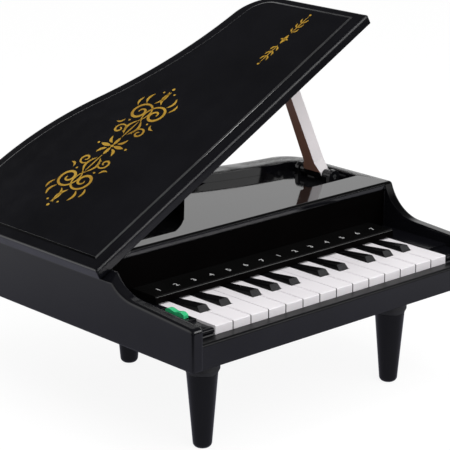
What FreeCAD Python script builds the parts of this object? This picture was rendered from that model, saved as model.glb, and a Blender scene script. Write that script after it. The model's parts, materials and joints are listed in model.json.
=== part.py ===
import FreeCAD, Part
import math
import os

# Toy grand piano with an electronic keyboard: a hollow moulded case on three tapered legs, two octaves
# of sprung keys on one axle, a slide switch, and a lid that a folding prop holds open.
# Millimetres. +X runs to the player's right, +Y to the tail and +Z up. The pieces are made about the
# front left corner of the first white key's top, and the finished model is moved so that its origin
# lies under the middle of its box, on the surface that it stands on.

V = FreeCAD.Vector
ALONG_X = V(1, 0, 0)
ALONG_Y = V(0, 1, 0)
ALONG_Z = V(0, 0, 1)

# General
over = 1.0
reach = 400.0
fit = 0.2
wall = 2.4

# Keyboard
octaves = 2
group_counts = (3, 4)
white_pitch = 14.0
key_gap = 0.5
key_plate = 2.0
key_wall = 1.4
key_side = 7.6
key_edge = 0.7
white_head = 22.5
white_front = 8.6
black_lean = 2.8
black_high = 3.1
black_low = 0.5
black_root = 1.6
black_taper = 0.5
black_edge = 0.9
black_back = 51.0
pivot_back = 63.0
pivot_drop = 4.4
key_tail = 4.4
axle_radius = 1.5
axle_clearance = 0.05
plunger_back = 34.0
plunger_width = 3.0
plunger_drop = 6.0

# Case
side_gap = 0.4
block_width = 17.0
cheek_width = 7.4
case_front = -8.8
fall_back = 70.3
rim_top = 29.6
case_bottom = -20.3
brow_radius = 1.8
fall_strip = 4.6
fall_step = 0.6
arm_back = 8.6
arm_slope = math.radians(3.7)
ogee_angle = math.radians(70)
crown_radius = 2.6
nose_radius = 3.0
case_edge = 2.0
corner_back = 148.4
corner_radius = 21.0
corner_turn = math.radians(84.7)
hollow_radius = 244.0
swell_radius = 147.0
swell_across = 45.95
tail_radius = 18.0

# Recess in the top, the deck in it and the well beside the deck
rim_front = 24.7
rim_side = 8.0
rim_bent = 17.0
rim_spine = 36.0
recess_depth = 6.1
recess_corner = 8.0
deck_plate = 2.0
deck_ledge = 2.2
ledge_depth = 2.5
well_depth = 15.0
well_wall = 1.6
well_front_rim = 10.1
well_across = 65.0
well_first_radius = 95.0
well_first_turn = math.radians(30)
well_slope = math.radians(48.5)
well_straight = 58.5
well_last_radius = 60.0
well_last_turn = math.radians(20)

# Lid and its hinge
lid_open = 28.6
lid_lift = 3.4
lid_overhang = 4.3
lid_front = 70.0
lid_height = 7.0
lid_panel = 2.4
lid_skirt = 2.2
lid_edge = 1.6
lid_gap = 0.35
panel_inset = 10.5
panel_raise = 0.8
panel_edge = 0.45
hinge_inset = 22.5
hinge_drop = 2.6
hinge_margin = 24.0
lug_width = 8.0
lug_radius = 3.2
lug_gap = 0.4
pin_radius = 1.5
pin_clearance = 0.05
pocket_left = 8.0
pocket_right = 5.0

# Prop
prop_right = 17.1
prop_back = 123.8
prop_height = 4.4
prop_lean = 66.2
prop_width = 8.7
prop_depth_tip = 6.0
prop_depth_root = 10.0
prop_depth_foot = 16.0
prop_flare = 7.0
prop_bar_radius = 3.6
prop_bar_length = 26.0
prop_clearance = 0.12
ear_thickness = 3.2
ear_radius = 4.4
ear_gap = 0.4
prop_pin_radius = 1.5

# Label rail, front rail, key blocks and key bed
rail_front = 48.6
rail_top = 5.6
rail_plate = 2.2
rail_lip_gap = 0.6
rail_lip_depth = 3.0
rail_edge = 1.2
rail_rest = 2.2
slip_top = -5.0
slip_gap = 0.6
slip_plate = 2.0
slip_edge = 1.6
block_top = 0.5
block_shelf = -3.5
block_step = 15.6
block_wall = 2.0
block_nose = 2.8
bed_top = -13.0
bed_plate = 2.0
bed_rib = 2.0
bed_rib_shares = (0.12, 0.5, 0.9)

# Switch
track_inset = 3.4
track_width = 4.8
track_length = 25.2
track_depth = 0.9
track_middle = 29.0
slot_width = 2.0
stem_width = 1.4
stem_length = 8.0
stem_drop = 3.4
switch_travel = 4.0
switch_clearance = 0.3
knob_width = 3.6
knob_length = 16.4
knob_low = 2.3
knob_high = 3.1
knob_edge = 0.6
switch_body_width = 8.4
switch_body_margin = 3.0
switch_body_height = 6.0

# Contact board and rubber strip
board_front = 24.0
board_back = 56.0
board_plate = 1.4
board_margin = 2.0
strip_depth = 11.0
strip_plate = 1.0
dome_radius = 2.2
dome_top_radius = 1.5
dome_height = 2.2

# Bottom cover with battery bay and speaker
cover_plate = 2.2
socket_radius = 10.8
socket_length = 20.6
socket_edge = 2.4
bay_left = 112.0
bay_front = 92.0
bay_width = 60.0
bay_length = 46.0
bay_height = 17.0
bay_wall = 2.0
bay_lip = 2.0
door_tongue = 6.0
speaker_across = 44.0
speaker_back = 118.0
speaker_radius = 20.0
speaker_rim = 2.0
speaker_cone = 6.0
magnet_radius = 9.0
magnet_height = 5.0
grille_radius = 1.5
grille_step = 5.0
grille_rings = 3
post_radius = 3.6
screw_radius = 1.2
screw_head_radius = 2.4
screw_head = 1.2
screw_length = 9.0
left_post_inset = 8.0
left_post_shares = (0.18, 0.86)
right_post_share = 0.35
bent_post_shares = (0.3, 0.62)

# Legs
leg_length = 47.8
leg_top_radius = 9.6
leg_foot_radius = 5.9
leg_foot_edge = 3.4
leg_spigot_radius = 7.4
leg_spigot = 14.0
front_leg_inset = 17.5
front_leg_back = 31.0
rear_leg_across = 76.8
rear_leg_back = 170.7

# Worked out from the values above
white_count = octaves * sum(group_counts)
keyboard_width = white_count * white_pitch
block_outer = side_gap + block_width
case_left = -(block_outer + cheek_width)
case_right = keyboard_width + block_outer + cheek_width
cover_top = case_bottom + cover_plate
deck_top = rim_top - recess_depth
deck_bottom = deck_top - deck_plate
ledge_bottom = deck_bottom - ledge_depth
well_floor = deck_top - well_depth
bed_bottom = bed_top - bed_plate
board_top = bed_top + board_plate
hinge_x = case_left + hinge_inset
hinge_z = rim_top - hinge_drop
lid_top = rim_top + lid_height
lid_under = lid_top - lid_panel
prop_x = case_right - prop_right
prop_z = deck_top + prop_height
brow_back = fall_back + brow_radius
recess_front = fall_back + rim_front
recess_left = case_left + rim_spine
well_front = fall_back + well_front_rim
well_start = V(case_left + well_across, well_front, 0)
leg_seat = case_bottom - socket_length
key_axis_z = -pivot_drop
slip_back = -slip_gap
track_x = -side_gap - track_inset

corner_centre = V(case_right - corner_radius, corner_back, 0)
corner_way = V(math.cos(corner_turn), math.sin(corner_turn), 0)
hollow_centre = corner_centre + corner_way * (corner_radius + hollow_radius)
swell_reach = hollow_centre.x - case_left - swell_across
swell_turn = math.acos(swell_reach / (hollow_radius + swell_radius))
swell_way = V(math.cos(swell_turn), math.sin(swell_turn), 0)
swell_centre = hollow_centre - swell_way * (hollow_radius + swell_radius)
tail_back = swell_centre.y + swell_radius
tail_centre = V(case_left + tail_radius, tail_back - tail_radius, 0)


def box(x0, x1, y0, y1, z0, z1):
    return Part.makeBox(x1 - x0, y1 - y0, z1 - z0, V(x0, y0, z0))


def rod(point, along, radius, length):
    return Part.makeCylinder(radius, length, point, along)


def prism(points, along):
    return Part.Face(Part.makePolygon(points + points[:1])).extrude(along)


def line(place, start, end):
    return Part.makeLine(place(*start), place(*end))


def arc(place, centre, radius, start, end):
    angles = (start, (start + end) / 2, end)
    points = [place(centre[0] + radius * math.cos(a), centre[1] + radius * math.sin(a)) for a in angles]
    return Part.Arc(*points).toShape()


def solid(edges, along):
    return Part.Face(Part.Wire(edges)).extrude(along)


def fuse_all(shapes):
    return shapes[0].multiFuse(shapes[1:]).removeSplitter()


def heading(angle):
    return V(math.cos(angle), math.sin(angle), 0)


def plan(inset, front, low, high):
    """The grand outline, moved in by inset, from the level low to the level high."""
    def place(x, y):
        return V(x, y, low)
    left = case_left + inset
    right = case_right - inset
    back = tail_back - inset
    half = math.pi / 2
    corner = (corner_centre.x, corner_centre.y)
    hollow = (hollow_centre.x, hollow_centre.y)
    swell = (swell_centre.x, swell_centre.y)
    tail = (tail_centre.x, tail_centre.y)
    edges = [
        line(place, (left, front), (right, front)),
        line(place, (right, front), (right, corner_back)),
        arc(place, corner, corner_radius - inset, 0, corner_turn),
        arc(place, hollow, hollow_radius + inset, math.pi + corner_turn, math.pi + swell_turn),
        arc(place, swell, swell_radius - inset, swell_turn, half),
        line(place, (swell[0], back), (tail[0], back)),
        arc(place, tail, tail_radius - inset, half, math.pi),
        line(place, (left, tail[1]), (left, front)),
    ]
    return solid(edges, ALONG_Z * (high - low))


def recess(inset, front, low, high):
    """The opening in the top behind the line front, moved in by inset at its sides, between two levels."""
    def place(x, y):
        return V(x, y, low)
    right = case_right - rim_side - inset
    bent = rim_bent + inset
    back = tail_back - bent
    start = hollow_centre - corner_way * (hollow_radius + bent)
    corner = (right, start.y - recess_corner)
    hollow = (hollow_centre.x, hollow_centre.y)
    swell = (swell_centre.x, swell_centre.y)
    edges = [
        line(place, (case_left, front), (right, front)),
        line(place, (right, front), corner),
        line(place, corner, (start.x, start.y)),
        arc(place, hollow, hollow_radius + bent, math.pi + corner_turn, math.pi + swell_turn),
        arc(place, swell, swell_radius - bent, swell_turn, math.pi / 2),
        line(place, (swell[0], back), (case_left, back)),
        line(place, (case_left, back), (case_left, front)),
    ]
    whole = solid(edges, ALONG_Z * (high - low))
    return whole.common(box(recess_left + inset, case_right, front, tail_back, low, high))


def side_profile():
    """The case seen from the side: nose, arm, ogee cheek and flat top, right across the case."""
    def place(y, z):
        return V(case_left - over, y, z)
    rise = rim_top - arm_back
    crown_rise = crown_radius * (1 - math.cos(ogee_angle))
    sweep_radius = (rise - crown_rise) / (math.cos(arm_slope) - math.cos(ogee_angle))
    sweep_length = sweep_radius * (math.sin(ogee_angle) - math.sin(arm_slope))
    crown_start = brow_back - crown_radius * math.sin(ogee_angle)
    arm_end = crown_start - sweep_length
    nose_back = case_front + nose_radius
    nose_line = arm_back - math.tan(arm_slope) * (arm_end - nose_back)
    nose_centre = (nose_back, nose_line - nose_radius / math.cos(arm_slope))
    quarter = math.pi / 2
    nose_end = (nose_centre[0] - nose_radius * math.sin(arm_slope),
                nose_centre[1] + nose_radius * math.cos(arm_slope))
    sweep_centre = (arm_end - sweep_radius * math.sin(arm_slope),
                    arm_back + sweep_radius * math.cos(arm_slope))
    far = tail_back + over
    edges = [
        line(place, (case_front, case_bottom), (case_front, nose_centre[1])),
        arc(place, nose_centre, nose_radius, math.pi, quarter + arm_slope),
        line(place, nose_end, (arm_end, arm_back)),
        arc(place, sweep_centre, sweep_radius, arm_slope - quarter, ogee_angle - quarter),
        arc(place, (brow_back, rim_top - crown_radius), crown_radius, quarter + ogee_angle, quarter),
        line(place, (brow_back, rim_top), (far, rim_top)),
        line(place, (far, rim_top), (far, case_bottom)),
        line(place, (far, case_bottom), (case_front, case_bottom)),
    ]
    width = case_right - case_left + over + over
    return solid(edges, ALONG_X * width)


def key_well():
    """The space between the cheeks, in front of the sunk fall and the strip with a rounded brow above it."""
    def place(y, z):
        return V(-block_outer, y, z)
    front = case_front - over
    low = case_bottom - over
    high = rim_top + over
    sunk = fall_back + fall_step
    strip = rim_top - fall_strip
    brow = (brow_back, rim_top - brow_radius)
    edges = [
        line(place, (front, low), (sunk, low)),
        line(place, (sunk, low), (sunk, strip)),
        line(place, (sunk, strip), (fall_back, strip)),
        line(place, (fall_back, strip), (fall_back, brow[1])),
        arc(place, brow, brow_radius, math.pi, math.pi / 2),
        line(place, (brow_back, rim_top), (brow_back, high)),
        line(place, (brow_back, high), (front, high)),
        line(place, (front, high), (front, low)),
    ]
    return solid(edges, ALONG_X * (keyboard_width + block_outer + block_outer))


def spine_bevel(depth):
    """All that lies above the bevelled spine, which is where the lid's flap stops, moved in by depth."""
    stop = math.radians(lid_open + lid_lift)
    slope = V(math.cos(stop), 0, math.sin(stop))
    normal = V(-math.sin(stop), 0, math.cos(stop))
    middle = V(hinge_x, case_front - over, hinge_z) + normal * (hinge_drop - lid_gap - depth)
    corners = [
        middle - slope * reach,
        middle + slope * reach,
        middle + slope * reach + normal * reach,
        middle - slope * reach + normal * reach,
    ]
    return prism(corners, ALONG_Y * reach)


def hinge_places():
    """The middles of the two hinge lugs along the spine."""
    return (fall_back + hinge_margin, tail_centre.y - hinge_margin)


def hinge_pocket(middle, grow):
    half = lug_width / 2 + lug_gap + grow
    low = hinge_z - lug_radius - lug_gap - grow
    return box(hinge_x - pocket_left - grow, hinge_x + pocket_right + grow,
               middle - half, middle + half, low, rim_top + over - grow)


def post_places():
    """Where the screws from the bottom cover go up into the case."""
    depth = tail_centre.y - fall_back
    places = [V(case_left + left_post_inset, fall_back + share * depth, 0) for share in left_post_shares]
    places.append(V(case_right - rim_side / 2 - wall / 2,
                    fall_back + right_post_share * (corner_back - fall_back), 0))
    first, second = bent_post_shares
    turn = corner_turn + (swell_turn - corner_turn) * first
    places.append(hollow_centre - heading(turn) * (hollow_radius + rim_bent / 2))
    turn = swell_turn + (math.pi / 2 - swell_turn) * second
    places.append(swell_centre + heading(turn) * (swell_radius - rim_bent / 2))
    return places


def case():
    body = plan(0, case_front, case_bottom, rim_top).common(side_profile())
    rounded = [edge for edge in body.Edges if is_outer_top(edge)]
    body = body.makeFillet(case_edge, rounded)
    body = body.cut(key_well())
    body = body.cut(spine_bevel(0))
    hollow = plan(wall, fall_back + wall, case_bottom - over, rim_top - wall)
    hollow = hollow.cut(spine_bevel(wall))
    hollow = hollow.cut(recess(-wall, recess_front - wall, ledge_bottom, rim_top))
    pocket = well(well_wall, well_floor - well_wall, rim_top)
    hollow = hollow.cut(pocket)
    for middle in hinge_places():
        hollow = hollow.cut(hinge_pocket(middle, wall))
    for spot in post_places():
        hollow = hollow.cut(rod(spot + ALONG_Z * cover_top, ALONG_Z, post_radius, rim_top - cover_top))
    body = body.cut(hollow)
    body = body.cut(recess(0, recess_front, deck_bottom, rim_top + over))
    under_deck = recess(deck_ledge, recess_front + deck_ledge, ledge_bottom - over, rim_top)
    body = body.cut(under_deck.cut(pocket))
    body = body.cut(well(0, well_floor, rim_top + over))
    cheek_top = slip_top + wall
    for outer in (case_left, case_right - cheek_width):
        body = body.cut(box(outer + wall, outer + cheek_width - wall, case_front + wall, fall_back,
                            case_bottom - over, cheek_top))
    body = body.cut(plan(wall, case_front + wall, case_bottom - over, cover_top))
    for middle in hinge_places():
        body = body.cut(hinge_pocket(middle, 0))
        length = lug_width + (lug_gap + wall) * 2
        body = body.cut(rod(V(hinge_x, middle - length / 2, hinge_z), ALONG_Y, pin_radius, length))
    for spot in post_places():
        body = body.cut(rod(spot + ALONG_Z * cover_top, ALONG_Z, screw_radius, screw_length))
    return body.removeSplitter()


def is_outer_top(edge):
    """True for the outer edges that run up the front corners, along the cheeks and round the tail."""
    bounds = edge.BoundBox
    above = bounds.ZMin > slip_top
    corner = bounds.YMax < case_front + over and bounds.ZMax > slip_top
    across = bounds.XLength > keyboard_width and bounds.YLength < over
    return (above or corner) and not across


def hinge_pin(middle):
    length = lug_width + (lug_gap + wall) * 2
    return rod(V(hinge_x, middle - length / 2, hinge_z), ALONG_Y, pin_radius, length)


def s_curve(offset, low, high):
    """The side of the well away from the deck's S-shaped edge, moved towards the deck by offset."""
    def place(x, y):
        return V(x, y, low)
    def aside(turn):
        return V(math.sin(turn), -math.cos(turn), 0)
    first_centre = well_start - aside(well_first_turn) * well_first_radius
    first_radius = well_first_radius + offset
    begin = well_start + aside(well_first_turn) * offset
    bend = first_centre + aside(well_slope) * first_radius
    bend_end = bend + heading(well_slope) * well_straight
    last_radius = well_last_radius - offset
    last_centre = bend_end + aside(well_slope) * last_radius
    finish = last_centre - aside(well_last_turn) * last_radius
    early = begin - heading(well_first_turn) * reach
    late = finish + heading(well_last_turn) * reach
    quarter = math.pi / 2
    edges = [
        line(place, (early.x, early.y), (begin.x, begin.y)),
        arc(place, (first_centre.x, first_centre.y), first_radius,
            well_first_turn - quarter, well_slope - quarter),
        line(place, (bend.x, bend.y), (bend_end.x, bend_end.y)),
        arc(place, (last_centre.x, last_centre.y), last_radius,
            well_slope + quarter, well_last_turn + quarter),
        line(place, (finish.x, finish.y), (late.x, late.y)),
        line(place, (late.x, late.y), (early.x, late.y)),
        line(place, (early.x, late.y), (early.x, early.y)),
    ]
    return solid(edges, ALONG_Z * (high - low))


def well(grow, low, high):
    """The sunk place between the spine and the deck's S-shaped edge, moved out by grow."""
    return recess(-grow, well_front - grow, low, high).common(s_curve(grow, low, high))


def deck_panel():
    """The mirror-like deck with its S-shaped edge, and the two ears that carry the prop."""
    body = recess(fit, recess_front + fit, deck_bottom, deck_top).cut(s_curve(0, deck_bottom, deck_top))
    for start in ear_starts():
        ear = rod(V(prop_x, start, prop_z), ALONG_Y, ear_radius, ear_thickness)
        foot = box(prop_x - ear_radius, prop_x + ear_radius, start, start + ear_thickness,
                   deck_top, prop_z)
        bore = rod(V(prop_x, start, prop_z), ALONG_Y, prop_pin_radius, ear_thickness)
        body = body.fuse(ear.fuse(foot)).cut(bore)
    return body.removeSplitter()


def ear_starts():
    half = prop_bar_length / 2 + ear_gap
    return (prop_back - half - ear_thickness, prop_back + half)


def prop_pin():
    length = prop_bar_length + (ear_gap + ear_thickness) * 2
    return rod(V(prop_x, prop_back - length / 2, prop_z), ALONG_Y, prop_pin_radius, length)


def lid_prop():
    """The stick, made lying flat over the deck with its tip to the left, then stood up."""
    across = math.sin(math.radians(lid_open)) * (prop_x - hinge_x)
    upward = math.cos(math.radians(lid_open)) * (prop_z - hinge_z)
    span = lid_under - hinge_z + across - upward - prop_clearance
    low = prop_z - prop_bar_radius
    high = low + prop_width
    tip = prop_x - span
    root = prop_x - prop_bar_radius
    flare = root - prop_flare
    half_tip = prop_depth_tip / 2
    half_root = prop_depth_root / 2
    half_foot = prop_depth_foot / 2
    half_bar = prop_bar_length / 2
    outline = [
        V(tip, prop_back - half_tip, low),
        V(flare, prop_back - half_root, low),
        V(root, prop_back - half_foot, low),
        V(prop_x, prop_back - half_foot, low),
        V(prop_x, prop_back + half_foot, low),
        V(root, prop_back + half_foot, low),
        V(flare, prop_back + half_root, low),
        V(tip, prop_back + half_tip, low),
    ]
    stick = prism(outline, ALONG_Z * (high - low))
    stick = stick.common(rod(V(prop_x, prop_back - half_bar, prop_z), ALONG_Y, span, prop_bar_length))
    slope = [
        V(root, prop_back - half_bar, prop_z + prop_bar_radius),
        V(prop_x + over, prop_back - half_bar, prop_z + prop_bar_radius),
        V(prop_x + over, prop_back - half_bar, high + over),
        V(flare, prop_back - half_bar, high + over),
        V(flare, prop_back - half_bar, high),
    ]
    stick = stick.cut(prism(slope, ALONG_Y * prop_bar_length))
    stick = stick.cut(box(root, prop_x, prop_back - half_bar, prop_back + half_bar, low, high))
    bar = rod(V(prop_x, prop_back - half_bar, prop_z), ALONG_Y, prop_bar_radius, prop_bar_length)
    neck = box(root, prop_x, prop_back - half_foot, prop_back + half_foot,
               low, prop_z + prop_bar_radius)
    body = stick.fuse(bar).fuse(neck)
    bore = rod(V(prop_x, prop_back - half_bar, prop_z), ALONG_Y,
               prop_pin_radius + pin_clearance, prop_bar_length)
    body = body.cut(bore).removeSplitter()
    body.rotate(V(prop_x, prop_back, prop_z), ALONG_Y, prop_lean)
    return body


def lid():
    """The lid, made closed as a shallow tray over the rim, then swung open about the hinge pins."""
    outer = plan(-lid_overhang, lid_front, rim_top, lid_top)
    rounded = [edge for edge in outer.Edges if edge.BoundBox.ZMin > lid_top - over]
    outer = outer.makeFillet(lid_edge, rounded)
    inner = plan(lid_skirt - lid_overhang, lid_front + lid_skirt, rim_top - over, lid_under)
    body = outer.cut(inner)
    raised = plan(panel_inset - lid_overhang, lid_front + panel_inset, lid_top, lid_top + panel_raise)
    rounded = [edge for edge in raised.Edges if edge.BoundBox.ZMin > lid_top + panel_edge]
    raised = raised.makeFillet(panel_edge, rounded)
    body = body.fuse(raised)
    for middle in hinge_places():
        start = middle - lug_width / 2
        lug = rod(V(hinge_x, start, hinge_z), ALONG_Y, lug_radius, lug_width)
        hanger = box(hinge_x - lug_radius, hinge_x + lug_radius, start, start + lug_width,
                     hinge_z, lid_under)
        bore = rod(V(hinge_x, start, hinge_z), ALONG_Y, pin_radius + pin_clearance, lug_width)
        body = body.fuse(lug.fuse(hanger)).cut(bore)
    body = body.removeSplitter()
    body.rotate(V(hinge_x, 0, hinge_z), ALONG_Y, -lid_open)
    return body


def key_slots():
    """For each group of white keys: its first white, its start and the width of one slot at the back."""
    first = 0
    for count in group_counts * octaves:
        yield first, count, first * white_pitch, count * white_pitch / (count * 2 - 1)
        first += count


def key_bore(x0, x1):
    return rod(V(x0 - over, pivot_back, key_axis_z), ALONG_X, axle_radius + axle_clearance,
               x1 - x0 + over + over)


def plunger(x0, x1):
    middle = (x0 + x1) / 2
    half = plunger_width / 2
    return box(middle - half, middle + half, plunger_back - half, plunger_back + half,
               -plunger_drop, -key_plate)


def white_key(index, slot_start, slot_width_here):
    half = key_gap / 2
    head_left = index * white_pitch + half
    head_right = (index + 1) * white_pitch - half
    left = slot_start + half
    right = slot_start + slot_width_here - half
    back = pivot_back + key_tail
    head = box(head_left, head_right, 0, white_head, -key_side, 0)
    tail = box(left, right, 0, back, -key_side, 0)
    skirt = box(head_left, head_right, 0, key_wall, -white_front, 0)
    body = fuse_all([head, tail, skirt])
    body = body.makeFillet(key_edge, [edge for edge in body.Edges if is_key_rim(edge, white_head)])
    inner_head = box(head_left + key_wall, head_right - key_wall, key_wall, white_head - key_wall,
                     -white_front - over, -key_plate)
    inner_tail = box(left + key_wall, right - key_wall, key_wall, back - key_wall,
                     -white_front - over, -key_plate)
    body = body.cut(inner_head.fuse(inner_tail))
    body = body.fuse(plunger(left, right)).cut(key_bore(left, right))
    return body.removeSplitter()


def is_key_rim(edge, length):
    """True for the top edges of a white key's front part and for its two front corners."""
    bounds = edge.BoundBox
    above = bounds.ZMin > -key_edge and bounds.YMax < length + key_edge
    corner = bounds.YMax < key_edge and bounds.ZLength > key_edge
    return above or corner


def black_key(slot_start, slot_width_here):
    half = key_gap / 2
    left = slot_start + half
    right = slot_start + slot_width_here - half
    front = white_head + key_gap
    back = pivot_back + key_tail
    base = box(left, right, front, back, -key_side, 0)
    root_share = black_root / black_high
    foot_front = front - black_lean * root_share
    foot_spread = black_taper * root_share
    foot = [
        V(left - foot_spread, foot_front, -black_root),
        V(right + foot_spread, foot_front, -black_root),
        V(right + foot_spread, black_back, -black_root),
        V(left - foot_spread, black_back, -black_root),
    ]
    crest_front = front + black_lean
    crest = [
        V(left + black_taper, crest_front, black_high),
        V(right - black_taper, crest_front, black_high),
        V(right - black_taper, black_back, black_low),
        V(left + black_taper, black_back, black_low),
    ]
    wires = [Part.makePolygon(points + points[:1]) for points in (foot, crest)]
    cap = Part.makeLoft(wires, True, True)
    crest_end = black_back - over
    edges = [edge for edge in cap.Edges if edge.BoundBox.ZMin > 0 and edge.BoundBox.YMin < crest_end]
    cap = cap.makeFillet(black_edge, edges)
    body = base.fuse(cap.common(box(left, right, front, black_back, -black_root, black_high)))
    inner = box(left + key_wall, right - key_wall, front + key_wall, back - key_wall,
                -key_side - over, -key_plate)
    body = body.cut(inner)
    body = body.fuse(plunger(left, right)).cut(key_bore(left, right))
    return body.removeSplitter()


def keys():
    """Every key by name, from the left."""
    made = {}
    black = 0
    for first, count, start, slot in key_slots():
        for step in range(count):
            name = "white_key_%02d" % (first + step + 1)
            made[name] = white_key(first + step, start + slot * step * 2, slot)
        for step in range(count - 1):
            black += 1
            made["black_key_%02d" % black] = black_key(start + slot * (step * 2 + 1), slot)
    return made


def key_axle():
    start = -side_gap - block_wall
    length = keyboard_width + (side_gap + block_wall) * 2
    return rod(V(start, pivot_back, key_axis_z), ALONG_X, axle_radius, length)


def block_profile(x, inset, low):
    """A key block from the side, with its rounded nose and low shelf, moved in by inset, as edges."""
    def place(y, z):
        return V(x, y, z)
    front = inset
    back = fall_back - inset
    top = block_top - inset
    shelf = block_shelf - inset
    step = block_step + inset
    nose = block_nose - inset
    return [
        line(place, (front, low), (front, shelf - nose)),
        arc(place, (front + nose, shelf - nose), nose, math.pi, math.pi / 2),
        line(place, (front + nose, shelf), (step, shelf)),
        line(place, (step, shelf), (step, top)),
        line(place, (step, top), (back, top)),
        line(place, (back, top), (back, low)),
        line(place, (back, low), (front, low)),
    ]


def key_block(left):
    """A hollow block between a cheek and the keys, which holds one end of the key axle."""
    right = left + block_width
    body = solid(block_profile(left, 0, bed_top), ALONG_X * block_width)
    inner = solid(block_profile(left + block_wall, block_wall, bed_top - over),
                  ALONG_X * (block_width - block_wall * 2))
    body = body.cut(inner)
    keys_side = right - block_wall if left < 0 else left
    bore = rod(V(keys_side, pivot_back, key_axis_z), ALONG_X, axle_radius, block_wall)
    return body.cut(bore).removeSplitter()


def left_block():
    """The left key block, with the switch's sunk track and slot."""
    body = key_block(-block_outer)
    half = track_width / 2
    track = box(track_x - half, track_x + half, track_middle - track_length / 2,
                track_middle + track_length / 2, block_top - track_depth, block_top + over)
    half = slot_width / 2
    long = stem_length / 2 + switch_travel + switch_clearance
    slot = box(track_x - half, track_x + half, track_middle - long, track_middle + long,
               block_top - block_wall - over, block_top)
    return body.cut(track).cut(slot).removeSplitter()


def switch_body():
    """The slide switch under the block's roof, with a groove for the knob's stem."""
    top = block_top - block_wall
    right = -side_gap - block_wall
    long = stem_length / 2 + switch_travel + switch_clearance
    outer = long + switch_body_margin
    body = box(right - switch_body_width, right, track_middle - outer, track_middle + outer,
               top - switch_body_height, top)
    half = slot_width / 2
    groove = box(track_x - half, track_x + half, track_middle - long, track_middle + long,
                 top - stem_drop, top)
    return body.cut(groove)


def switch_knob():
    """The slider, a bar with a raised grip at each end and a saddle between them."""
    low = block_top - track_depth + switch_clearance
    half = knob_length / 2
    quarter = half / 2
    front = track_middle - half
    def place(y, z):
        return V(track_x - knob_width / 2, y, z)
    crest = low + knob_high
    saddle = low + knob_low
    points = [
        (front, crest - knob_edge * 2),
        (front + quarter, crest),
        (track_middle, saddle),
        (track_middle + quarter, crest),
        (track_middle + half, crest - knob_edge * 2),
    ]
    curve = Part.BSplineCurve()
    curve.interpolate([place(*point) for point in points])
    edges = [
        line(place, (front, low), points[0]),
        curve.toShape(),
        line(place, points[-1], (track_middle + half, low)),
        line(place, (track_middle + half, low), (front, low)),
    ]
    body = solid(edges, ALONG_X * knob_width)
    half = stem_width / 2
    long = stem_length / 2
    stem_low = block_top - block_wall - stem_drop + switch_clearance
    stem = box(track_x - half, track_x + half, track_middle - long, track_middle + long, stem_low, low)
    return body.fuse(stem).removeSplitter()


def label_rail():
    """The strip behind the keys that carries the key marks, standing on the two key blocks."""
    left = -side_gap - rail_rest
    right = keyboard_width - left
    def place(y, z):
        return V(left, y, z)
    lip_back = rail_front + rail_lip_depth
    lip_low = block_top + rail_lip_gap
    low = rail_top - rail_plate
    centre = (rail_front + rail_edge, rail_top - rail_edge)
    edges = [
        line(place, (rail_front, lip_low), (rail_front, centre[1])),
        arc(place, centre, rail_edge, math.pi, math.pi / 2),
        line(place, (centre[0], rail_top), (fall_back, rail_top)),
        line(place, (fall_back, rail_top), (fall_back, low)),
        line(place, (fall_back, low), (lip_back, low)),
        line(place, (lip_back, low), (lip_back, lip_low)),
        line(place, (lip_back, lip_low), (rail_front, lip_low)),
    ]
    body = solid(edges, ALONG_X * (right - left))
    for start in (left, right - rail_rest):
        body = body.fuse(box(start, start + rail_rest, rail_front, fall_back, block_top, low))
    return body.removeSplitter()


def front_rail():
    """The apron across the front, with the ledge in front of the keys."""
    left = -block_outer
    def place(y, z):
        return V(left, y, z)
    back = slip_back
    inner = slip_top - slip_plate
    centre = (case_front + slip_edge, slip_top - slip_edge)
    edges = [
        line(place, (case_front, case_bottom), (case_front, centre[1])),
        arc(place, centre, slip_edge, math.pi, math.pi / 2),
        line(place, (centre[0], slip_top), (back, slip_top)),
        line(place, (back, slip_top), (back, bed_top)),
        line(place, (back, bed_top), (back - slip_plate, bed_top)),
        line(place, (back - slip_plate, bed_top), (back - slip_plate, inner)),
        line(place, (back - slip_plate, inner), (case_front + wall, inner)),
        line(place, (case_front + wall, inner), (case_front + wall, case_bottom)),
        line(place, (case_front + wall, case_bottom), (case_front, case_bottom)),
    ]
    return solid(edges, ALONG_X * (keyboard_width + block_outer * 2))


def key_bed():
    """The plate under the keys, which runs forward under the apron's inner edge."""
    return box(-block_outer, keyboard_width + block_outer, slip_back - slip_plate, fall_back,
               bed_bottom, bed_top)


def contact_board():
    return box(board_margin, keyboard_width - board_margin, board_front, board_back, bed_top, board_top)


def contact_strip():
    """The rubber strip with one dome under each key."""
    low = board_top
    top = low + strip_plate
    half = strip_depth / 2
    pieces = [box(board_margin, keyboard_width - board_margin, plunger_back - half,
                  plunger_back + half, low, top)]
    for first, count, start, slot in key_slots():
        for step in range(count * 2 - 1):
            middle = V(start + slot * (step + 1 / 2), plunger_back, top)
            pieces.append(Part.makeCone(dome_radius, dome_top_radius, dome_height, middle, ALONG_Z))
    return fuse_all(pieces)


def bay_box(inset, low, high):
    return box(bay_left + inset, bay_left + bay_width - inset, bay_front + inset,
               bay_front + bay_length - inset, low, high)


def leg_places():
    return {
        "leg_front_left": V(front_leg_inset, front_leg_back, leg_seat),
        "leg_front_right": V(keyboard_width - front_leg_inset, front_leg_back, leg_seat),
        "leg_rear": V(rear_leg_across, rear_leg_back, leg_seat),
    }


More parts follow.
